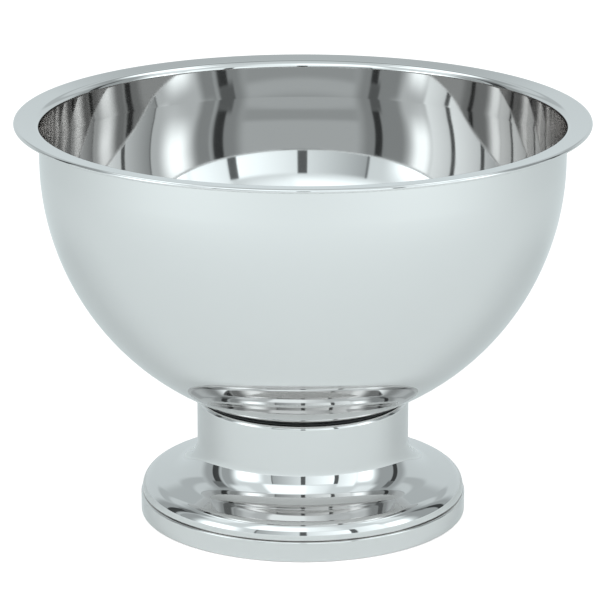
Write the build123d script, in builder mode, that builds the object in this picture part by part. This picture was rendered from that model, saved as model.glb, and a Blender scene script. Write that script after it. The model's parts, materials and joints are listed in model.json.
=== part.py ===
"""Pedestal punch bowl of mirror-polished stainless steel.

A spun bowl with an out-turned, hemmed rim is bolted from below to a spun pedestal.
A stud welded under the bowl passes through a dished clamp disc inside the pedestal's
neck, and a wing nut pulls the pedestal's seat up against the bowl, with a thin rubber
gasket between them. The pedestal's foot stands on a rolled base band.

The origin is the centre of the base, on the surface that the bowl stands on.
Millimetres, +Z up. Every round piece is a sheet profile turned about the Z axis.
"""
from build123d import *
from math import acos, atan2, cos, degrees, radians, sin, sqrt, tan
import os

os.makedirs("parts", exist_ok=True)

# Bowl: radii are of the outer surface
rim_radius = 187.5
total_height = 267.5
bowl_sheet = 1.0
wall_radius = 171.3
side_arc_radius = 176.5
side_arc_top = 240.7
bottom_arc_radius = 60
bottom_height = 67

# Rim flange and its hem, which is folded under
flange_rise = 6
rim_corner_radius = 3.5
hem_gap = 0.7
hem_leg = 5

# Pedestal: radii are of the outer surface
pedestal_sheet = 1.2
neck_radius = 70.1
neck_edge_radius = 2.5
seat_inner_radius = 48
fillet_radius = 21.4
fillet_top = 48.4
foot_slope = 10
shoulder_radius = 9.4
foot_radius = 106.8
foot_lip = 5
foot_lip_radius = 1.5

# Base band
band_radius = 107.9
band_height = 13.4
band_sheet = 0.8
band_edge_radius = 0.9
band_ledge = 8
band_foot = 11

# Gasket between bowl and pedestal
gasket_thickness = 1
gasket_inner_radius = 50
gasket_outer_radius = 68.5

# Clamp under the bowl
stud_radius = 4
stud_end = 40
stud_chamfer = 0.8
stud_plate_radius = 19
stud_plate_thickness = 2
stud_plate_chamfer = 0.6
clamp_sheet = 2
clamp_top = 62
clamp_centre_radius = 30
clamp_inner_radius = 52
clamp_outer_radius = 63
clamp_hole_radius = 4.5
washer_radius = 12
washer_hole_radius = 4.2
washer_thickness = 1.6
washer_edge_radius = 0.4
lock_washer_radius = 7.4
lock_washer_thickness = 2.2
lock_washer_gap = 1.5
lock_washer_slant = 30
nut_base_radius = 8
nut_top_radius = 6.5
nut_height = 11
nut_collar_height = 2
wing_span = 38
wing_width = 13
wing_thickness = 3
wing_drop = 4
wing_edge_radius = 1

# Centre of the side arc, in radius and height
arc_centre_r = wall_radius - side_arc_radius
arc_centre_z = side_arc_top


def on_side_arc(arc_radius, r):
    """The point at radius r on an arc that shares the bowl's side arc centre."""
    reach = r - arc_centre_r
    return (r, arc_centre_z - sqrt(arc_radius**2 - reach**2))


def side_arc_slope(arc_radius, r):
    """Degrees above level, outwards, of such an arc at radius r."""
    return 90 - degrees(acos((r - arc_centre_r) / arc_radius))


def heading(angle):
    """Direction in the profile plane, in degrees above the outward radius."""
    return (cos(radians(angle)), sin(radians(angle)))


# The bottom arc is tangent to a flat disc below it and to the side arc outside it
bottom_rise = arc_centre_z - bottom_height - bottom_arc_radius
bottom_reach = sqrt((side_arc_radius - bottom_arc_radius) ** 2 - bottom_rise**2)
flat_radius = arc_centre_r + bottom_reach
bottom_sweep = degrees(atan2(bottom_reach, bottom_rise))

# The hem's fold, whose outside is the rim's widest and highest part
hem_inner_radius = hem_gap / 2
hem_outer_radius = hem_inner_radius + bowl_sheet
hem_r = rim_radius - hem_outer_radius
hem_z = total_height - hem_outer_radius
flange_end_r = hem_r - hem_inner_radius * sin(radians(flange_rise))
flange_end_z = hem_z + hem_inner_radius * cos(radians(flange_rise))

# The rim corner bends from the upright wall to the flange
corner_end_r = wall_radius + rim_corner_radius * (1 - sin(radians(flange_rise)))
flange_run = flange_end_r - corner_end_r
corner_end_z = flange_end_z - flange_run * tan(radians(flange_rise))
corner_z = corner_end_z - rim_corner_radius * cos(radians(flange_rise))
flange_length = flange_run / cos(radians(flange_rise))

with BuildPart() as bowl_shell:
    with BuildSketch(Plane.XZ):
        with BuildLine():
            flat = Line((0, bottom_height), (flat_radius, bottom_height))
            bottom = JernArc(flat @ 1, flat % 1, bottom_arc_radius, bottom_sweep)
            side = JernArc(bottom @ 1, bottom % 1, side_arc_radius, 90 - bottom_sweep)
            wall = Line(side @ 1, (wall_radius, corner_z))
            corner = JernArc(wall @ 1, wall % 1, rim_corner_radius, flange_rise - 90)
            flange = PolarLine(corner @ 1, flange_length, flange_rise)
            hem = JernArc(flange @ 1, flange % 1, hem_inner_radius, -180)
            leg = PolarLine(hem @ 1, hem_leg, flange_rise + 180)
            offset(amount=bowl_sheet, side=Side.LEFT)
        make_face()
    revolve(axis=Axis.Z)

# The pedestal's seat follows the bowl at the gasket's thickness, and rolls over into the neck
seat_arc_radius = side_arc_radius + gasket_thickness
edge_r = neck_radius - neck_edge_radius
edge_z = on_side_arc(seat_arc_radius + neck_edge_radius, edge_r)[1]
edge_slope = side_arc_slope(seat_arc_radius + neck_edge_radius, edge_r)
seat_start = on_side_arc(seat_arc_radius, seat_inner_radius)
seat_start_slope = side_arc_slope(seat_arc_radius, seat_inner_radius)

# The foot runs down from the neck's fillet to a rounded shoulder and a flat lip
fillet_end_r = neck_radius + fillet_radius * (1 - sin(radians(foot_slope)))
fillet_end_z = fillet_top - fillet_radius * cos(radians(foot_slope))
shoulder_centre_r = foot_radius - shoulder_radius
shoulder_start_r = shoulder_centre_r + shoulder_radius * sin(radians(foot_slope))
foot_run = (shoulder_start_r - fillet_end_r) / cos(radians(foot_slope))

with BuildPart() as pedestal_shell:
    with BuildSketch(Plane.XZ):
        with BuildLine():
            seat = JernArc(
                seat_start, heading(seat_start_slope), seat_arc_radius, edge_slope - seat_start_slope
            )
            edge = JernArc(seat @ 1, seat % 1, neck_edge_radius, -90 - edge_slope)
            neck = Line(edge @ 1, (neck_radius, fillet_top))
            fillet_arc = JernArc(neck @ 1, neck % 1, fillet_radius, 90 - foot_slope)
            foot = PolarLine(fillet_arc @ 1, foot_run, -foot_slope)
            shoulder = JernArc(foot @ 1, foot % 1, shoulder_radius, foot_slope - 90)
            skirt = Line(shoulder @ 1, (foot_radius, band_height + foot_lip_radius))
            lip_bend = JernArc(skirt @ 1, skirt % 1, foot_lip_radius, -90)
            lip = PolarLine(lip_bend @ 1, foot_lip, 180)
            offset(amount=pedestal_sheet, side=Side.RIGHT)
        make_face()
    revolve(axis=Axis.Z)

band_flat_radius = band_radius - band_edge_radius

with BuildPart() as base_band:
    with BuildSketch(Plane.XZ):
        with BuildLine():
            ledge = Line((band_flat_radius - band_ledge, band_height), (band_flat_radius, band_height))
            top_edge = JernArc(ledge @ 1, ledge % 1, band_edge_radius, -90)
            band_wall = Line(top_edge @ 1, (band_radius, band_edge_radius))
            low_edge = JernArc(band_wall @ 1, band_wall % 1, band_edge_radius, -90)
            foot_face = PolarLine(low_edge @ 1, band_foot, 180)
            offset(amount=band_sheet, side=Side.RIGHT)
        make_face()
    revolve(axis=Axis.Z)


def arc_band(inner_radius, outer_radius, upper_arc, lower_arc):
    """The flat space between two arcs that share the side arc's centre."""
    middle_radius = (inner_radius + outer_radius) / 2
    with BuildSketch() as band:
        with BuildLine():
            upper = ThreePointArc(
                on_side_arc(upper_arc, inner_radius),
                on_side_arc(upper_arc, middle_radius),
                on_side_arc(upper_arc, outer_radius),
            )
            lower = ThreePointArc(
                on_side_arc(lower_arc, inner_radius),
                on_side_arc(lower_arc, middle_radius),
                on_side_arc(lower_arc, outer_radius),
            )
            Line(upper @ 0, lower @ 0)
            Line(upper @ 1, lower @ 1)
        make_face()
    return band.sketch


with BuildPart() as neck_gasket:
    with BuildSketch(Plane.XZ):
        add(arc_band(gasket_inner_radius, gasket_outer_radius, side_arc_radius, seat_arc_radius))
    revolve(axis=Axis.Z)

with BuildPart() as stud_plate:
    with BuildSketch(Plane.XY.offset(bottom_height - stud_plate_thickness)):
        Circle(stud_plate_radius)
        Circle(stud_radius, mode=Mode.SUBTRACT)
    extrude(amount=stud_plate_thickness)
    chamfer(stud_plate.edges().group_by(Axis.Z)[0].sort_by(SortBy.LENGTH)[-1:], length=stud_plate_chamfer)

with BuildPart() as centre_stud:
    with BuildSketch(Plane.XY.offset(stud_end)):
        Circle(stud_radius)
    extrude(amount=bottom_height - stud_end)
    chamfer(centre_stud.edges().group_by(Axis.Z)[0], length=stud_chamfer)

# The clamp disc presses the seat up from below, and drops to a flat centre clear of the bowl
clamp_arc_top = seat_arc_radius + pedestal_sheet
clamp_arc_low = clamp_arc_top + clamp_sheet
clamp_low = clamp_top - clamp_sheet
clamp_bend = on_side_arc(clamp_arc_top, clamp_inner_radius)
clamp_bend_low = on_side_arc(clamp_arc_low, clamp_inner_radius)

with BuildPart() as clamp_disc:
    with BuildSketch(Plane.XZ):
        add(arc_band(clamp_inner_radius, clamp_outer_radius, clamp_arc_top, clamp_arc_low))
        with BuildLine():
            Polyline(
                (clamp_hole_radius, clamp_low),
                (clamp_centre_radius + clamp_sheet / 2, clamp_low),
                clamp_bend_low,
                clamp_bend,
                (clamp_centre_radius, clamp_top),
                (clamp_hole_radius, clamp_top),
                close=True,
            )
        make_face()
    revolve(axis=Axis.Z)

washer_bottom = clamp_low - washer_thickness

with BuildPart() as flat_washer:
    with BuildSketch(Plane.XY.offset(washer_bottom)):
        Circle(washer_radius)
        Circle(washer_hole_radius, mode=Mode.SUBTRACT)
    extrude(amount=washer_thickness)
    fillet(flat_washer.edges().group_by(Axis.Z)[0].sort_by(SortBy.LENGTH)[-1:], radius=washer_edge_radius)

lock_washer_bottom = washer_bottom - lock_washer_thickness

# The lock washer is split by a slanting saw cut
with BuildPart() as lock_washer:
    with BuildSketch(Plane.XY.offset(lock_washer_bottom)):
        Circle(lock_washer_radius)
        Circle(washer_hole_radius, mode=Mode.SUBTRACT)
    extrude(amount=lock_washer_thickness)
    with Locations((lock_washer_radius, 0, lock_washer_bottom + lock_washer_thickness / 2)):
        Box(
            lock_washer_radius,
            lock_washer_gap,
            3 * lock_washer_thickness,
            rotation=(lock_washer_slant, 0, 0),
            mode=Mode.SUBTRACT,
        )

nut_bottom = lock_washer_bottom - nut_height
wing_height = nut_bottom + wing_width / 2

# The wing nut hangs with its wings down, a round hub with two flat rounded wings
with BuildPart() as wing_nut:
    with BuildSketch(Plane.XZ):
        with BuildLine():
            Polyline(
                (0, lock_washer_bottom),
                (nut_base_radius, lock_washer_bottom),
                (nut_base_radius, lock_washer_bottom - nut_collar_height),
                (nut_top_radius, nut_bottom),
                (0, nut_bottom),
                close=True,
            )
        make_face()
    revolve(axis=Axis.Z)
    with BuildSketch(Plane.XZ):
        with Locations((0, wing_height - wing_drop)):
            SlotOverall(wing_span, wing_width)
    extrude(amount=wing_thickness / 2, both=True)
    fillet(wing_nut.edges().filter_by(GeomType.CIRCLE).group_by(Axis.X)[-1], radius=wing_edge_radius)
    with BuildSketch(Plane.XY.offset(nut_bottom - wing_width)):
        Circle(stud_radius)
    extrude(amount=2 * wing_width + nut_height, mode=Mode.SUBTRACT)

pieces = {
    "bowl_shell": bowl_shell,
    "stud_plate": stud_plate,
    "centre_stud": centre_stud,
    "neck_gasket": neck_gasket,
    "pedestal_shell": pedestal_shell,
    "base_band": base_band,
    "clamp_disc": clamp_disc,
    "flat_washer": flat_washer,
    "lock_washer": lock_washer,
    "wing_nut": wing_nut,
}
for name, piece in pieces.items():
    piece.part.label = name
    export_step(piece.part, f"parts/{name}.step")
    print(name, round(piece.part.volume / 1000, 2), "cm3")
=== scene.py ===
# %% [markdown]
# A punch bowl of mirror-polished stainless steel
#
# This lesson dresses a finished design. The design file holds every size, and each
# of its parts is loaded here as a fixed frame. The bowl and its pedestal are spun
# from sheet on a lathe, so the lesson turns them again, finely enough for a mirror
# finish, then makes the fixings that hold them together, and last builds the small
# studio that a mirror needs to have something to show.

import bpy
import json
import math
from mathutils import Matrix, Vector

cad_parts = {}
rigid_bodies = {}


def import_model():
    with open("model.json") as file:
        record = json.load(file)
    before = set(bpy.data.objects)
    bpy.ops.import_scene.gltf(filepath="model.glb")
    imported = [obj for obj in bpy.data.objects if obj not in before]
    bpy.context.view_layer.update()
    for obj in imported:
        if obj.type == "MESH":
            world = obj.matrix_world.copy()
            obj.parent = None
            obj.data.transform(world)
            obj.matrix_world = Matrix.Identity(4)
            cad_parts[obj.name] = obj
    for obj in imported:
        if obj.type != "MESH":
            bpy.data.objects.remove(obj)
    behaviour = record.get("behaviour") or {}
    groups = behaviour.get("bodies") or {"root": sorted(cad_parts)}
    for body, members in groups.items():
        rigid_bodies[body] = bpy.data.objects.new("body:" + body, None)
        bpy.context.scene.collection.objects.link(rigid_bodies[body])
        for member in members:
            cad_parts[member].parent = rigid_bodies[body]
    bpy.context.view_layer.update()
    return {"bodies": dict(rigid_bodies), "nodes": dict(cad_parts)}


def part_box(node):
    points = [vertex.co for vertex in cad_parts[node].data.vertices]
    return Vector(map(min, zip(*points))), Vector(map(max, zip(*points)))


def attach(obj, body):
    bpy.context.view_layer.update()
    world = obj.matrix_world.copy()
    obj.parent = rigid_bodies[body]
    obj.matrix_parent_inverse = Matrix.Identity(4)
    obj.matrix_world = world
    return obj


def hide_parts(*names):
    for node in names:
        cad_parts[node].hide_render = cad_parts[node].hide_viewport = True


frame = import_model()
scene = bpy.context.scene
body = next(iter(frame["bodies"]))

# %% [markdown]
# The camera comes first, because a mirror looks different from every place. It
# stands a little over two metres away and looks down on the bowl with a long lens, so
# that the round rim shows as a slim ellipse.

# %% Place the camera
CAMERA_AWAY = 2.2498
CAMERA_UP = 0.8078
CAMERA_ACROSS = -0.0019
CAMERA_TILT = math.radians(16.45)
LENS_MM = 213.8
SENSOR_MM = 36

camera_data = bpy.data.cameras.new("studio_camera")
camera_data.lens = LENS_MM
camera_data.sensor_width = SENSOR_MM
camera = bpy.data.objects.new("studio_camera", camera_data)
camera.location = (CAMERA_ACROSS, -CAMERA_AWAY, CAMERA_UP)
camera.rotation_euler = (math.pi / 2 - CAMERA_TILT, 0, 0)
scene.collection.objects.link(camera)
scene.camera = camera
print("camera", [round(value, 3) for value in camera.location])

# %% [markdown]
# A spun part is a sheet bent along one line and turned about an axis. The line is
# drawn as a pen draws it, with straight runs and round arcs that follow on without
# a corner. A polished surface shows every corner in its shading, so each run gets
# an extra point close to both of its ends, which keeps the next arc's curve from
# leaking into the flat.

# %% Draw a line of runs and arcs
MM = 0.001
GUARD = 0.3
ARC_STEP = math.radians(4)


def run(length, points=1):
    """A straight move of the pen, in millimetres."""
    inner = [GUARD + (length - 2 * GUARD) * i / points for i in range(points + 1)]
    return [(along, 0.0, 0.0) for along in inner + [length]]


def arc(radius, turn, step=ARC_STEP):
    """A round move of the pen: radius in millimetres, turn in degrees, left is positive."""
    sweep = math.radians(turn)
    steps = max(2, math.ceil(abs(sweep) / step))
    side = math.copysign(radius, sweep)
    moves = []
    for i in range(1, steps + 1):
        angle = sweep * i / steps
        moves.append((abs(side * math.sin(angle)), side * (1 - math.cos(angle)), angle))
    return moves


def draw(start, heading, *moves):
    """Points and headings of the line that the moves draw, in radius and height."""
    place = Vector(start)
    angle = math.radians(heading)
    line = [(place.copy(), angle)]
    for move in moves:
        ahead = Vector((math.cos(angle), math.sin(angle)))
        left = Vector((-math.sin(angle), math.cos(angle)))
        for forward, sideways, turned in move:
            line.append((place + ahead * forward + left * sideways, angle + turned))
        place, angle = line[-1]
    return line


def sheet_outline(line, thickness):
    """The closed outline of a sheet with one face on the line, its other face to the left."""
    other = [p + Vector((-math.sin(a), math.cos(a))) * thickness for p, a in line]
    return [p for p, a in line] + other[::-1]


# %% [markdown]
# Turning the line into a solid follows a rule, so it is a job for Geometry Nodes.
# The tree takes the outline's points, lays a grid with one column for each step
# round the axis, and moves every grid point to its outline point turned by its
# step's angle. Merging by distance then closes the seam and the poles. The tree is
# built once and used for every turned piece.


# %% Add a node with its settings and links
def add(tree, kind, settings, *inputs, **named):
    """One node. An input is a socket to join or a value to set, in order or by its name."""
    node = tree.nodes.new(kind)
    for name, value in settings.items():
        setattr(node, name, value)
    sockets = [socket for socket in node.inputs if socket.enabled]
    pairs = list(zip(sockets, inputs))
    for name, value in named.items():
        words = name.replace("_", " ").lower()
        pairs.append((next(s for s in sockets if s.name.lower() == words), value))
    for socket, value in pairs:
        if isinstance(value, bpy.types.NodeSocket):
            tree.links.new(value, socket)
        else:
            socket.default_value = value
    return node


MATH = "ShaderNodeMath"
PLUS = {"operation": "ADD"}
MINUS = {"operation": "SUBTRACT"}
TIMES = {"operation": "MULTIPLY"}
OVER = {"operation": "DIVIDE"}
FLOOR = {"operation": "FLOOR"}

# %% Build the lathe tree
STEPS_ROUND = 336
CREASE = math.radians(35)
MERGE = 0.005 * MM


def new_grower(name, *inputs):
    """An empty Geometry Nodes tree with named inputs, each with its kind and first value."""
    tree = bpy.data.node_groups.new(name, "GeometryNodeTree")
    for label, kind, value in inputs:
        socket = tree.interface.new_socket(label, in_out="INPUT", socket_type="NodeSocket" + kind)
        if value is not None:
            socket.default_value = value
    tree.interface.new_socket("Solid", in_out="OUTPUT", socket_type="NodeSocketGeometry")
    return tree, tree.nodes.new("NodeGroupInput").outputs


def finish_grower(tree, mesh, given):
    """Closes the seams, shades the mesh, makes it real and paints it."""
    merged = add(tree, "GeometryNodeMergeByDistance", {}, Geometry=mesh, Distance=MERGE)
    bend = tree.nodes.new("GeometryNodeInputMeshEdgeAngle").outputs[0]
    soft = add(tree, MATH, {"operation": "LESS_THAN"}, bend, CREASE).outputs[0]
    smooth = add(tree, "GeometryNodeSetShadeSmooth", {"domain": "FACE"}, merged.outputs[0])
    creased = add(
        tree, "GeometryNodeSetShadeSmooth", {"domain": "EDGE"}, smooth.outputs[0], Shade_Smooth=soft
    )
    real = add(tree, "GeometryNodeRealizeInstances", {}, creased.outputs[0])
    painted = add(
        tree, "GeometryNodeSetMaterial", {}, Geometry=real.outputs[0], Material=given["Material"]
    )
    result = tree.nodes.new("NodeGroupOutput")
    tree.links.new(painted.outputs[0], result.inputs["Solid"])
    return tree


def column_and_row(tree, rows):
    """Which column and which row of the grid a point is in."""
    index = tree.nodes.new("GeometryNodeInputIndex").outputs[0]
    share = add(tree, MATH, OVER, index, rows).outputs[0]
    column = add(tree, MATH, FLOOR, share).outputs[0]
    before = add(tree, MATH, TIMES, column, rows).outputs[0]
    return column, add(tree, MATH, MINUS, index, before).outputs[0]


def lathe_tree():
    """A node tree that turns an outline in the XZ plane about the Z axis."""
    tree, given = new_grower(
        "lathe",
        ("Outline", "Geometry", None),
        ("Steps round", "Int", STEPS_ROUND),
        ("Material", "Material", None),
    )
    outline = given["Outline"]
    count = add(tree, "GeometryNodeAttributeDomainSize", {}, outline).outputs[0]
    columns = add(tree, MATH, PLUS, given["Steps round"], 1).outputs[0]
    grid = add(tree, "GeometryNodeMeshGrid", {}, 1.0, 1.0, columns, count)
    column, row = column_and_row(tree, count)
    place = tree.nodes.new("GeometryNodeInputPosition").outputs[0]
    vector = {"data_type": "FLOAT_VECTOR"}
    sampled = add(tree, "GeometryNodeSampleIndex", vector, Geometry=outline, Value=place, Index=row)
    point = sampled.outputs[0]
    share = add(tree, MATH, OVER, column, given["Steps round"]).outputs[0]
    angle = add(tree, MATH, TIMES, share, 2 * math.pi).outputs[0]
    turned = add(
        tree, "ShaderNodeVectorRotate", {"rotation_type": "Z_AXIS"}, Vector=point, Angle=angle
    ).outputs[0]
    moved = add(tree, "GeometryNodeSetPosition", {}, Geometry=grid.outputs["Mesh"], Position=turned)
    return finish_grower(tree, moved.outputs[0], given)


LATHE = lathe_tree()
print("lathe tree with", len(LATHE.nodes), "nodes")


# %% Run a tree on a piece and keep the plain mesh
def grown(name, start_mesh, tree, inputs):
    """A new object whose mesh is what the tree makes from start_mesh."""
    piece = bpy.data.objects.new(name, start_mesh)
    scene.collection.objects.link(piece)
    modifier = piece.modifiers.new("grow", "NODES")
    modifier.node_group = tree
    sockets = {s.name: s.identifier for s in tree.interface.items_tree if s.in_out == "INPUT"}
    for socket_name, value in inputs.items():
        modifier[sockets[socket_name]] = value
    return plain(piece, inputs["Material"])


def plain(piece, material):
    """Keeps what a piece's modifiers make as its own mesh, in one material."""
    depsgraph = bpy.context.evaluated_depsgraph_get()
    mesh = bpy.data.meshes.new_from_object(piece.evaluated_get(depsgraph))
    piece.modifiers.clear()
    piece.data = mesh
    mesh.name = piece.name
    mesh.materials.clear()
    mesh.materials.append(material)
    size = [round(side / MM, 2) for side in piece.dimensions]
    print(piece.name, len(mesh.polygons), "faces", size, "mm")
    return piece


def turned_piece(name, points, material, steps=STEPS_ROUND):
    """A closed outline turned about the Z axis, facing outwards."""
    mesh = bpy.data.meshes.new(name + "_outline")
    mesh.from_pydata([(p.x * MM, 0, p.y * MM) for p in points + points[:1]], [], [])
    return grown(name, mesh, LATHE, {"Steps round": steps, "Material": material})


# %% [markdown]
# Polished stainless steel has almost no look of its own. It gives back about two
# thirds of the light that falls on it, and a shade more of the red than of the
# blue, so the colour warms a little with every bounce inside the bowl. All colours
# are written as the sRGB hex values a designer would quote, and one function turns
# them to the linear numbers that the shaders count in.


# %% Turn a hex colour to linear
def linear(hex_colour):
    """An sRGB colour such as "#C9CBCB" as linear red, green, blue and alpha."""
    parts = [int(hex_colour[i : i + 2], 16) / 255 for i in (1, 3, 5)]
    return [p / 12.92 if p <= 0.04045 else ((p + 0.055) / 1.055) ** 2.4 for p in parts] + [1.0]


def new_material(name):
    """An empty node material, with its tree and its output."""
    material = bpy.data.materials.new(name)
    material.use_nodes = True
    tree = material.node_tree
    tree.nodes.clear()
    output = tree.nodes.new("ShaderNodeOutputMaterial")
    return material, tree, output


# %% [markdown]
# What tells spun steel from chrome plate is the tool that shaped it. The roller
# leaves shallow waves across the sheet, which make a straight reflection wander,
# and the polishing wheel leaves fine lines that run round the bowl. Both are
# heights of a hundredth of a millimetre or less, so they are bump, not geometry. The
# real lines are a tenth of a millimetre apart, too fine to show from two metres,
# so they are drawn eight times as coarse and fainter. Where a cloth has passed, the
# shine is a little softer. The bowl's waves and lines are drawn fainter than the
# pedestal's, to keep its inside calm where light runs many times round the wall.

# %% Mirror-polished stainless steel
WAVE_MM = 46
LINE_MM = 0.8
LINE_LENGTH = 60
CLOTH_MM = 28


def ring_coordinates(tree, place, lengthen):
    """Coordinates that change across a turned surface and hardly change round it."""
    x, y, z = add(tree, "ShaderNodeSeparateXYZ", {}, place).outputs
    level = add(tree, "ShaderNodeCombineXYZ", {}, x, y, 0.0).outputs[0]
    away = add(tree, "ShaderNodeVectorMath", {"operation": "LENGTH"}, level).outputs["Value"]
    slow = add(tree, MATH, OVER, x, lengthen).outputs[0]
    return add(tree, "ShaderNodeCombineXYZ", {}, away, slow, z).outputs[0]


def polished_steel(name, colour, wave_height, line_height, shine, dull):
    """Spun and buffed steel: heights in millimetres, and roughness where bright and where wiped."""
    material, tree, output = new_material(name)
    place = tree.nodes.new("ShaderNodeTexCoord").outputs["Object"]
    rings = ring_coordinates(tree, place, LINE_LENGTH)
    waves = add(
        tree, "ShaderNodeTexNoise", {}, Vector=place, Scale=1 / (WAVE_MM * MM), Detail=0.0
    ).outputs[0]
    lines = add(
        tree, "ShaderNodeTexNoise", {}, Vector=rings, Scale=1 / (LINE_MM * MM), Detail=2.0
    ).outputs[0]
    cloth = add(
        tree, "ShaderNodeTexNoise", {}, Vector=place, Scale=1 / (CLOTH_MM * MM), Detail=3.0
    ).outputs[0]
    wavy = add(tree, "ShaderNodeBump", {}, Distance=wave_height * MM, Height=waves).outputs[0]
    lined = add(
        tree, "ShaderNodeBump", {}, Distance=line_height * MM, Height=lines, Normal=wavy
    ).outputs[0]
    wiped = add(tree, "ShaderNodeMapRange", {}, cloth, 0.4, 0.7, shine, dull).outputs[0]
    shader = add(
        tree,
        "ShaderNodeBsdfPrincipled",
        {},
        Base_Color=linear(colour),
        Metallic=1.0,
        Roughness=wiped,
        Normal=lined,
    )
    tree.links.new(shader.outputs[0], output.inputs["Surface"])
    return material


STEEL_COLOUR = "#D5D3D2"
bowl_steel = polished_steel(
    "stainless_bowl_polish",
    STEEL_COLOUR,
    wave_height=0.005,
    line_height=0.00001,
    shine=0.035,
    dull=0.05,
)
foot_steel = polished_steel(
    "stainless_pedestal_polish",
    STEEL_COLOUR,
    wave_height=0.008,
    line_height=0.0003,
    shine=0.025,
    dull=0.05,
)
print("materials", bowl_steel.name, foot_steel.name)

# %% [markdown]
# The bowl is one sheet. Its floor is a small flat disc, its side is one large arc
# that runs out into an upright wall, and the rim turns outwards over a tight corner
# into a flange that rises slightly. The flange's edge is folded under as a hem,
# which hides the cut edge and stiffens the rim.

# %% Turn the bowl
SIDE_ARC = 176.5
BOTTOM_ARC = 60
WALL = 171.3
SIDE_TOP = 240.7
BOWL_SHEET = 1.0
RIM_CORNER = 3.5
FLANGE_RISE = 6
HEM_RADIUS = 0.35
HEM_LEG = 5
BOWL_STEPS = 540

bowl_low, bowl_high = (Vector(corner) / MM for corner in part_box("bowl_shell"))
arc_centre = Vector((WALL - SIDE_ARC, SIDE_TOP))
bottom_drop = SIDE_TOP - bowl_low.z - BOTTOM_ARC
bottom_reach = math.sqrt((SIDE_ARC - BOTTOM_ARC) ** 2 - bottom_drop**2)
bottom_turn = math.degrees(math.atan2(bottom_reach, bottom_drop))
rise = math.radians(FLANGE_RISE)
hem_outside = HEM_RADIUS + BOWL_SHEET
hem_start = Vector((bowl_high.x - hem_outside, bowl_high.z - hem_outside))
hem_start += Vector((-math.sin(rise), math.cos(rise))) * HEM_RADIUS
corner_end = WALL + RIM_CORNER * (1 - math.sin(rise))
flange = (hem_start.x - corner_end) / math.cos(rise)
corner_z = hem_start.y - flange * math.sin(rise) - RIM_CORNER * math.cos(rise)
bowl_line = draw(
    (0, bowl_low.z),
    0,
    run(arc_centre.x + bottom_reach, 4),
    arc(BOTTOM_ARC, bottom_turn, math.radians(2)),
    arc(SIDE_ARC, 90 - bottom_turn, math.radians(2.5)),
    run(corner_z - SIDE_TOP, 3),
    arc(RIM_CORNER, FLANGE_RISE - 90, math.radians(5)),
    run(flange, 3),
    arc(HEM_RADIUS, -180, math.radians(12)),
    run(HEM_LEG),
)
bowl = turned_piece("spun_bowl", sheet_outline(bowl_line, BOWL_SHEET), bowl_steel, BOWL_STEPS)
print("rim corner at", round(corner_z, 2), "mm")

# %% [markdown]
# The pedestal is a second spinning. Its seat follows the bowl, rolls over a soft
# edge into the neck, flares through a round fillet into the foot, and turns down
# over a shoulder to a lip that is hidden in the base band.

# %% Turn the pedestal
PEDESTAL_SHEET = 1.2
GASKET = 1
NECK = 70.1
NECK_EDGE = 2.5
SEAT_INSIDE = 48
FILLET = 21.4
FILLET_TOP = 48.4
FOOT_SLOPE = 10
SHOULDER = 9.4
LIP_BEND = 1.5
LIP = 5

foot_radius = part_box("pedestal_shell")[1][0] / MM
foot_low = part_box("pedestal_shell")[0][2] / MM
seat_arc = SIDE_ARC + GASKET


def on_arc(radius, r):
    """The point at r, and the slope there in degrees, on an arc centred with the bowl's side."""
    reach = r - arc_centre.x
    height = math.sqrt(radius**2 - reach**2)
    return Vector((r, arc_centre.y - height)), math.degrees(math.atan2(reach, height))


seat_start, seat_slope = on_arc(seat_arc, SEAT_INSIDE)
edge_centre, edge_slope = on_arc(seat_arc + NECK_EDGE, NECK - NECK_EDGE)
slope = math.radians(FOOT_SLOPE)
foot_start = NECK + FILLET * (1 - math.sin(slope))
foot_end = foot_radius - SHOULDER * (1 - math.sin(slope))
foot_run = (foot_end - foot_start) / math.cos(slope)
foot_drop = foot_run * math.sin(slope)
shoulder_low = FILLET_TOP - (FILLET + SHOULDER) * math.cos(slope) - foot_drop
pedestal_line = draw(
    seat_start,
    seat_slope,
    arc(seat_arc, edge_slope - seat_slope, math.radians(1)),
    arc(NECK_EDGE, -90 - edge_slope),
    run(edge_centre.y - FILLET_TOP, 2),
    arc(FILLET, 90 - FOOT_SLOPE, math.radians(2)),
    run(foot_run, 2),
    arc(SHOULDER, FOOT_SLOPE - 90, math.radians(2.5)),
    run(shoulder_low - foot_low - LIP_BEND),
    arc(LIP_BEND, -90, math.radians(9)),
    run(LIP),
)
pedestal = turned_piece("spun_pedestal", sheet_outline(pedestal_line, -PEDESTAL_SHEET), foot_steel)
print("shoulder ends at", round(shoulder_low, 2), "mm")

# %% [markdown]
# The base band is a strip rolled into a hoop, with both edges turned in. It stands
# a little prouder than the foot, and the shadow line between the two is what shows
# that they are separate pieces.

# %% Roll the base band
BAND_SHEET = 0.8
BAND_EDGE = 0.9
BAND_LEDGE = 8
BAND_FOOT = 11

band_high = Vector(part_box("base_band")[1]) / MM
band_line = draw(
    (band_high.x - BAND_EDGE - BAND_LEDGE, band_high.z),
    0,
    run(BAND_LEDGE),
    arc(BAND_EDGE, -90, math.radians(7.5)),
    run(band_high.z - 2 * BAND_EDGE, 2),
    arc(BAND_EDGE, -90, math.radians(7.5)),
    run(BAND_FOOT),
)
band = turned_piece("rolled_base_band", sheet_outline(band_line, -BAND_SHEET), foot_steel)

# %% Join the polished pieces to the design
for piece, node in ((bowl, "bowl_shell"), (pedestal, "pedestal_shell"), (band, "base_band")):
    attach(piece, body)
    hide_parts(node)
    print(piece.name, "stands for", node)

# %% [markdown]
# The gasket is a thin ring cut from black nitrile rubber sheet. It is squeezed
# between the bowl and the pedestal's seat, so its edge bulges round, and only that
# edge shows, as a fine black line. Rubber is dull, with a faint grain from the
# mould and a trace of pale dust.

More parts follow.
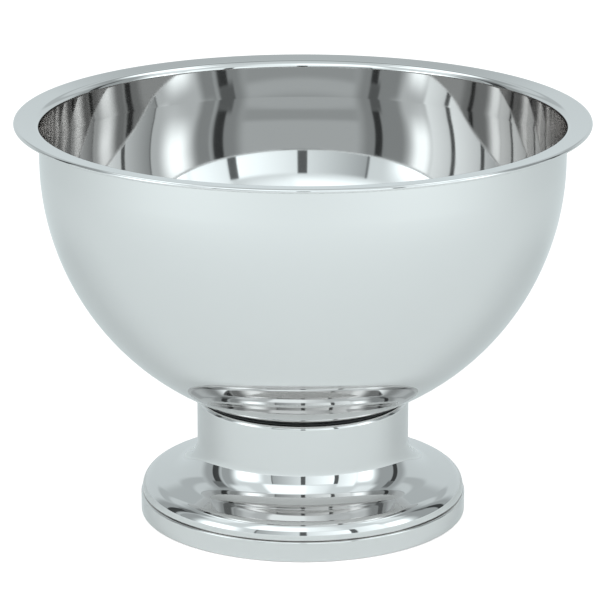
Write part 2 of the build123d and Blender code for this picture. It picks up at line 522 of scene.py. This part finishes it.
# %% Nitrile rubber
GRAIN_MM = 0.5
GRAIN_HEIGHT = 0.02 * MM


def nitrile_rubber(name, colour, dusty):
    """Dull black rubber with a fine grain and pale dust."""
    material, tree, output = new_material(name)
    place = tree.nodes.new("ShaderNodeTexCoord").outputs["Object"]
    grain = add(
        tree, "ShaderNodeTexNoise", {}, Vector=place, Scale=1 / (GRAIN_MM * MM), Detail=2.0
    ).outputs[0]
    dust = add(
        tree, "ShaderNodeTexNoise", {}, Vector=place, Scale=1 / (CLOTH_MM * MM), Detail=4.0
    ).outputs[0]
    share = add(tree, "ShaderNodeMapRange", {}, dust, 0.5, 0.8, 0.0, 1.0).outputs[0]
    tone = add(
        tree,
        "ShaderNodeMix",
        {"data_type": "RGBA"},
        Factor=share,
        A=linear(colour),
        B=linear(dusty),
    ).outputs["Result"]
    bumpy = add(tree, "ShaderNodeBump", {}, Distance=GRAIN_HEIGHT, Height=grain).outputs[0]
    shader = add(
        tree, "ShaderNodeBsdfPrincipled", {}, Base_Color=tone, Roughness=0.6, IOR=1.52, Normal=bumpy
    )
    tree.links.new(shader.outputs[0], output.inputs["Surface"])
    return material


rubber = nitrile_rubber("nitrile_rubber_sheet", "#0B0B0C", "#17181A")

# %% Turn the gasket
gasket_high = Vector(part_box("neck_gasket")[1]) / MM
gasket_inside = SEAT_INSIDE + 2
bulge = GASKET / 2
inner_point, inner_slope = on_arc(seat_arc, gasket_inside + bulge)
outer_slope = on_arc(seat_arc, gasket_high.x - bulge)[1]
width_turn = outer_slope - inner_slope
gasket_line = draw(
    inner_point,
    inner_slope,
    arc(seat_arc, width_turn, math.radians(0.5)),
    arc(bulge, 180, math.radians(15)),
    arc(SIDE_ARC, -width_turn, math.radians(0.5)),
    arc(bulge, 180, math.radians(15)),
)
gasket = turned_piece("rubber_gasket", [p for p, a in gasket_line[:-1]], rubber)
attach(gasket, body)
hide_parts("neck_gasket")

# %% [markdown]
# The fixings are inside the neck and only show from below. The clamp disc and the
# weld plate are pressed from plain stainless sheet as it leaves the rolls, which is
# silvery and dull, with a fine grain one way. The washers and the wing nut are zinc
# plated, which is bluer and has faint cloudy patches from the bath.


# %% Rolled and plated steels
ROLL_MM = 0.35
ROLL_LENGTH = 30
ROLL_HEIGHT = 0.004 * MM
BATH_MM = 5


def rolled_steel(name, colour, roughness):
    """Stainless sheet as rolled: dull silver with a grain along Y."""
    material, tree, output = new_material(name)
    place = tree.nodes.new("ShaderNodeTexCoord").outputs["Object"]
    drawn = add(tree, "ShaderNodeMapping", {}, Vector=place, Scale=(1, 1 / ROLL_LENGTH, 1)).outputs[0]
    grain = add(
        tree, "ShaderNodeTexNoise", {}, Vector=drawn, Scale=1 / (ROLL_MM * MM), Detail=2.0
    ).outputs[0]
    lined = add(tree, "ShaderNodeBump", {}, Distance=ROLL_HEIGHT, Height=grain).outputs[0]
    dull = add(
        tree, "ShaderNodeMapRange", {}, grain, 0.3, 0.7, roughness - 0.06, roughness + 0.06
    ).outputs[0]
    shader = add(
        tree,
        "ShaderNodeBsdfPrincipled",
        {},
        Base_Color=linear(colour),
        Metallic=1.0,
        Roughness=dull,
        Normal=lined,
    )
    tree.links.new(shader.outputs[0], output.inputs["Surface"])
    return material


def zinc_plate(name, bright, cloudy):
    """Zinc-plated steel: a bluish silver that the plating bath left cloudy."""
    material, tree, output = new_material(name)
    place = tree.nodes.new("ShaderNodeTexCoord").outputs["Object"]
    cloud = add(
        tree, "ShaderNodeTexNoise", {}, Vector=place, Scale=1 / (BATH_MM * MM), Detail=3.0
    ).outputs[0]
    share = add(tree, "ShaderNodeMapRange", {}, cloud, 0.35, 0.65, 0.0, 1.0).outputs[0]
    tone = add(
        tree,
        "ShaderNodeMix",
        {"data_type": "RGBA"},
        Factor=share,
        A=linear(bright),
        B=linear(cloudy),
    ).outputs["Result"]
    dull = add(tree, "ShaderNodeMapRange", {}, share, 0.0, 1.0, 0.24, 0.38).outputs[0]
    shader = add(tree, "ShaderNodeBsdfPrincipled", {}, Base_Color=tone, Metallic=1.0, Roughness=dull)
    tree.links.new(shader.outputs[0], output.inputs["Surface"])
    return material


plain_steel = rolled_steel("stainless_sheet_as_rolled", "#C4C3C1", 0.34)
zinc = zinc_plate("zinc_plated_steel", "#C9CDD2", "#B4B9BF")
for node in ("stud_plate", "flat_washer", "lock_washer"):
    finish = plain_steel if node == "stud_plate" else zinc
    materials = frame["nodes"][node].data.materials
    materials.clear()
    materials.append(finish)
    print(node, "is", finish.name)

# %% [markdown]
# The clamp disc is dished to follow the seat, and drops to a flat middle that the
# washer bears on. It is drawn with the same pen as the spun pieces.

# %% Press the clamp disc
CLAMP_SHEET = 2
CLAMP_TOP = 62
CLAMP_HOLE = 4.5
CLAMP_MIDDLE = 30
CLAMP_RIM = 52
DISH_BEND = 8

clamp_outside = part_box("clamp_disc")[1][0] / MM
clamp_arc = seat_arc + PEDESTAL_SHEET
dish_end, rim_slope = on_arc(clamp_arc, CLAMP_RIM)
dish = dish_end - Vector((CLAMP_MIDDLE, CLAMP_TOP))
dish_slope = math.degrees(math.atan2(dish.y, dish.x))
bend_reach = DISH_BEND * math.tan(math.radians(dish_slope / 2))
rim_turn = math.degrees(math.asin((clamp_outside - arc_centre.x) / clamp_arc)) - rim_slope
clamp_line = draw(
    (CLAMP_HOLE, CLAMP_TOP),
    0,
    run(CLAMP_MIDDLE - CLAMP_HOLE - bend_reach, 2),
    arc(DISH_BEND, dish_slope),
    run(dish.length - bend_reach, 2),
    arc(DISH_BEND, rim_slope - dish_slope),
    arc(clamp_arc, rim_turn, math.radians(1)),
)
clamp = turned_piece("pressed_clamp_disc", sheet_outline(clamp_line, -CLAMP_SHEET), plain_steel)
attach(clamp, body)
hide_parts("clamp_disc")

# %% [markdown]
# The stud carries an M8 thread, 1.25 mm from crest to crest. A thread is a rule: at
# any height and angle the radius follows a wave that climbs by one pitch a turn. A
# grid wrapped into a tube, with that wave as its radius, is a thread whose seam
# closes by itself, because the wave repeats.

# %% Build the thread tree
PITCH = 1.25 * MM
THREAD_DEPTH = 0.7 * MM
TIP = 0.8 * MM
STUD_STEPS = 72
STUD_ROWS = 240


def thread_tree():
    """A node tree that makes a threaded rod about the Z axis."""
    tree, given = new_grower(
        "thread",
        ("Start", "Geometry", None),
        ("Bottom", "Float", 0.0),
        ("Length", "Float", 0.02),
        ("Radius", "Float", 0.004),
        ("Pitch", "Float", PITCH),
        ("Depth", "Float", THREAD_DEPTH),
        ("Tip", "Float", TIP),
        ("Material", "Material", None),
    )
    grid = add(tree, "GeometryNodeMeshGrid", {}, 1.0, 1.0, STUD_STEPS + 1, STUD_ROWS + 1)
    column, row = column_and_row(tree, STUD_ROWS + 1)
    turn = add(tree, MATH, OVER, column, STUD_STEPS).outputs[0]
    share = add(tree, MATH, OVER, row, STUD_ROWS).outputs[0]
    along = add(tree, MATH, TIMES, share, given["Length"]).outputs[0]
    climbs = add(tree, MATH, OVER, along, given["Pitch"]).outputs[0]
    phase = add(tree, MATH, MINUS, climbs, turn).outputs[0]
    wave = add(tree, MATH, {"operation": "PINGPONG"}, phase, 0.5).outputs[0]
    soft = {"interpolation_type": "SMOOTHSTEP"}
    cut = add(
        tree, "ShaderNodeMapRange", soft, wave, 0.08, 0.44, 0.0, given["Depth"]
    ).outputs[0]
    threaded = add(tree, MATH, MINUS, given["Radius"], cut).outputs[0]
    root = add(tree, MATH, MINUS, given["Radius"], given["Tip"]).outputs[0]
    cone = add(tree, MATH, PLUS, root, along).outputs[0]
    tipped = add(tree, MATH, {"operation": "MINIMUM"}, threaded, cone).outputs[0]
    end = add(tree, MATH, {"operation": "COMPARE"}, share, 0.5, 0.4999).outputs[0]
    radius = add(tree, MATH, TIMES, tipped, end).outputs[0]
    height = add(tree, MATH, PLUS, along, given["Bottom"]).outputs[0]
    point = add(tree, "ShaderNodeCombineXYZ", {}, radius, 0.0, height).outputs[0]
    angle = add(tree, MATH, TIMES, turn, 2 * math.pi).outputs[0]
    turned = add(
        tree, "ShaderNodeVectorRotate", {"rotation_type": "Z_AXIS"}, Vector=point, Angle=angle
    ).outputs[0]
    moved = add(tree, "GeometryNodeSetPosition", {}, Geometry=grid.outputs["Mesh"], Position=turned)
    return finish_grower(tree, moved.outputs[0], given)


# %% Cut the stud's thread
stud_low, stud_high = (Vector(corner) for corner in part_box("centre_stud"))
stud_sizes = {
    "Bottom": stud_low.z,
    "Length": stud_high.z - stud_low.z,
    "Radius": stud_high.x,
    "Pitch": PITCH,
    "Depth": THREAD_DEPTH,
    "Tip": TIP,
    "Material": plain_steel,
}
stud = grown("threaded_stud", bpy.data.meshes.new("stud_start"), thread_tree(), stud_sizes)
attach(stud, body)
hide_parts("centre_stud")

# %% [markdown]
# A wing nut is cast, so it has no sharp edge anywhere. The design's nut has the
# right shape with crisp corners. Remeshing a copy into small even squares and then
# relaxing them rounds every corner the way a casting does.

# %% Cast the wing nut
VOXEL = 0.4 * MM
RELAX = 7

nut_mesh = frame["nodes"]["wing_nut"].data.copy()
nut = bpy.data.objects.new("cast_wing_nut", nut_mesh)
scene.collection.objects.link(nut)
weld = nut.modifiers.new("weld", "WELD")
weld.merge_threshold = MERGE
remesh = nut.modifiers.new("even_squares", "REMESH")
remesh.mode = "VOXEL"
remesh.voxel_size = VOXEL
remesh.use_smooth_shade = True
relax = nut.modifiers.new("relax", "SMOOTH")
relax.factor = 0.5
relax.iterations = RELAX
plain(nut, zinc)
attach(nut, body)
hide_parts("wing_nut")

# %% [markdown]
# A mirror shows the studio, so the studio is part of its finish. The bowl stands in
# a tent of white cloth: bright lamps left and right of the camera, a dimmer
# window between them with its frame, a big soft light above the window, a white
# sweep behind, and a ceiling that glows at the sides. The tent is one dome whose
# brightness is written at each of its points, panel by panel. Each panel has its
# own soft edges and may be brighter at one side than at the other.

# %% Build the light tent
TENT_RADIUS = 1.9
TENT_CENTRE = 0.2
TENT_STEP = 0.5
TENT_LOW = -8
TENT_TOP = 90
TENT_BASE = 0.5
# name, azimuth from and to, its soft edge, elevation from and to, its soft edge,
# brightness at the left and at the right; angles in degrees,
# azimuth 0 is the camera's side and +90 is to the right
PANELS = (
    ("ceiling", -200, 200, 5, 68, 99, 4, 0.9, 0.9),
    ("back wall left", -200, -122, 7, -10, 40, 5, 0.85, 0.85),
    ("back wall right", 126, 200, 7, -10, 40, 5, 0.85, 0.85),
    ("back wall left rail", -200, -122, 7, 21, 30, 2, 0.64, 0.64),
    ("back wall right rail", 126, 200, 7, 21, 30, 2, 0.64, 0.64),
    ("front wall", -79, 84, 5, -10, 70, 5, 1.0, 1.0),
    ("left softbox", -71, -48, 9, -10, 19, 7, 2.85, 2.65),
    ("right softbox", 60, 77, 6, -10, 21, 7, 2.55, 2.45),
    ("right softbox glow", 37, 58, 2, -10, 32, 4, 1.32, 1.75),
    ("window left pane", -32, 0, 1, -10, 22, 1, 0.55, 1.16),
    ("window right pane", 0, 34, 1, -10, 22, 1, 1.16, 1.78),
    ("front ceiling light", -43, 6, 4, 24, 60, 3, 1.85, 1.85),
    ("front ceiling light end", 4, 31, 5, 24, 60, 3, 1.6, 1.2),
    ("left ceiling light", -156, -66, 6, 50, 68, 4, 1.9, 1.9),
    ("right ceiling light", 66, 156, 6, 50, 68, 4, 1.9, 1.9),
    ("left lamp hood", -90, -64, 5, 34, 55, 5, 1.2, 1.3),
    ("right lamp hood", 64, 90, 5, 34, 55, 5, 1.3, 1.2),
    ("left post head", -112, -97.5, 0.8, 27, 40, 3, 0.22, 0.22),
    ("left post", -107, -97.5, 0.8, -10, 28, 1, 0.07, 0.09),
    ("left post edge", -96, -93, 0.5, -10, 40, 3, 0.68, 0.68),
    ("right post head", 104, 114, 0.8, 27, 40, 3, 0.2, 0.2),
    ("right post", 107, 114, 0.8, -10, 28, 1, 0.07, 0.07),
    ("window left jamb", -33, -31.6, 0.3, -10, 22, 0.5, 0.25, 0.25),
    ("window middle bar", -2.2, 2.6, 0.3, -10, 22, 0.5, 0.16, 0.16),
    ("window right jamb", 32.8, 37.4, 0.3, -10, 22, 0.5, 0.16, 0.16),
)


def smooth_step(low, high, value):
    """0 below low, 1 above high, and a smooth rise between them."""
    share = min(1.0, max(0.0, (value - low) / (high - low)))
    return share * share * (3 - 2 * share)


def cover(start, end, soft, value):
    """How much of a panel lies at an angle, from 0 outside to 1 inside."""
    entered = smooth_step(start - soft, start + soft, value)
    left_again = smooth_step(end - soft, end + soft, value)
    return entered * (1 - left_again)


def brightness(azimuth, elevation):
    """The tent's brightness in a direction, with the later panels over the earlier ones."""
    glow = TENT_BASE
    for _, left, right, side_soft, low, high, soft, left_glow, right_glow in PANELS:
        across = min(1.0, max(0.0, (azimuth - left) / (right - left)))
        panel_glow = left_glow + (right_glow - left_glow) * across
        share = cover(left, right, side_soft, azimuth) * cover(low, high, soft, elevation)
        glow += (panel_glow - glow) * share
    return glow


def tent_mesh():
    """A dome round the bowl, with its brightness on its points."""
    points, glows, faces = [], [], []
    columns = round(360 / TENT_STEP)
    rows = range(round(TENT_LOW / TENT_STEP), round(TENT_TOP / TENT_STEP) + 1)
    for row in rows:
        elevation = row * TENT_STEP
        for column in range(columns):
            azimuth = column * TENT_STEP - 180
            flat = TENT_RADIUS * math.cos(math.radians(elevation))
            x = flat * math.sin(math.radians(azimuth))
            y = -flat * math.cos(math.radians(azimuth))
            z = TENT_CENTRE + TENT_RADIUS * math.sin(math.radians(elevation))
            points.append((x, y, z))
            glows.append(brightness(azimuth, elevation))
    for row in range(len(rows) - 1):
        for column in range(columns):
            right = (column + 1) % columns
            low, high = row * columns, (row + 1) * columns
            faces.append((low + column, high + column, high + right, low + right))
    mesh = bpy.data.meshes.new("light_tent")
    mesh.from_pydata(points, [], faces)
    mesh.attributes.new("glow", "FLOAT", "POINT").data.foreach_set("value", glows)
    return mesh


TENT_COLOUR = linear("#F0FCFF")
tent_material, tree, output = new_material("lit_tent_cloth")
glow = add(tree, "ShaderNodeAttribute", {"attribute_name": "glow"}).outputs["Fac"]
light = add(tree, "ShaderNodeEmission", {}, Color=TENT_COLOUR, Strength=glow)
tree.links.new(light.outputs[0], output.inputs["Surface"])
tent = bpy.data.objects.new("light_tent", tent_mesh())
tent.data.materials.append(tent_material)
tent.visible_camera = False
tent.visible_diffuse = False
tent.visible_shadow = False
scene.collection.objects.link(tent)
print("tent", len(tent.data.polygons), "panels")

# %% [markdown]
# The table is white. Outside the bowl the steel shows little else, so the table's
# light is what makes the bowl look bright. The tent is only there to be seen in the
# steel: the even light of the white room falls on the table, and two soft lamps
# beside the camera add to it, most at the front left and right. The lamps stay out
# of the reflections. The camera looks at a second sheet just below, a glowing light
# table that bleaches the background to white, and only the steel sees the first.

# %% Lay the floor and light it
FLOOR_SIZE = 8
LAMP_SIDES = (-50, 50)
LAMP_REACH = 2.2
LAMP_UP = 1.6
LAMP_WATTS = 34
LAMP_WIDE = 1.2
LAMP_HIGH = 1.0
ROOM_LIGHT = 0.6
TABLE_GLOW = 0.5
TABLE_GAP = 0.3 * MM


def floor_sheet(name, height, colour, glow):
    """A level sheet of white acrylic that may glow."""
    material, tree, output = new_material(name + "_acrylic")
    paint = add(tree, "ShaderNodeBsdfDiffuse", {}, linear(colour))
    lit = add(tree, "ShaderNodeEmission", {}, Strength=glow)
    both = add(tree, "ShaderNodeAddShader", {}, paint.outputs[0], lit.outputs[0])
    tree.links.new(both.outputs[0], output.inputs["Surface"])
    half = FLOOR_SIZE / 2
    flat = ((-half, -half), (half, -half), (half, half), (-half, half))
    mesh = bpy.data.meshes.new(name)
    mesh.from_pydata([(x, y, height) for x, y in flat], [], [(0, 1, 2, 3)])
    mesh.materials.append(material)
    sheet = bpy.data.objects.new(name, mesh)
    scene.collection.objects.link(sheet)
    return sheet


table = floor_sheet("table", 0, "#F4F4F3", 0.0)
table.visible_camera = False
table.visible_diffuse = False
table.visible_shadow = False
floor_sheet("light_table", -TABLE_GAP, "#F8ECE9", TABLE_GLOW)

for side in LAMP_SIDES:
    lamp_data = bpy.data.lights.new("floor_lamp", "AREA")
    lamp_data.shape = "RECTANGLE"
    lamp_data.size = LAMP_WIDE
    lamp_data.size_y = LAMP_HIGH
    lamp_data.energy = LAMP_WATTS
    lamp_data.color = TENT_COLOUR[:3]
    lamp = bpy.data.objects.new("floor_lamp", lamp_data)
    turn = math.radians(side)
    lamp.location = (LAMP_REACH * math.sin(turn), -LAMP_REACH * math.cos(turn), LAMP_UP)
    lamp.rotation_euler = (math.atan2(LAMP_REACH, LAMP_UP), 0, turn)
    lamp.visible_glossy = False
    scene.collection.objects.link(lamp)

world = bpy.data.worlds.new("white_room")
world.use_nodes = True
world.node_tree.nodes["Background"].inputs["Color"].default_value = TENT_COLOUR
world.node_tree.nodes["Background"].inputs["Strength"].default_value = ROOM_LIGHT
scene.world = world
scene.view_settings.view_transform = "Standard"

# %% [markdown]
# At the far left and right of the bowl a ray runs round the wall, from mirror to
# mirror, many times before it gets out. With the usual four bounces those
# places go black, so the light is allowed more.

# %% Let light bounce round the bowl
BOUNCES = 48
scene.cycles.max_bounces = BOUNCES
scene.cycles.glossy_bounces = BOUNCES
print("bounces", scene.cycles.glossy_bounces)
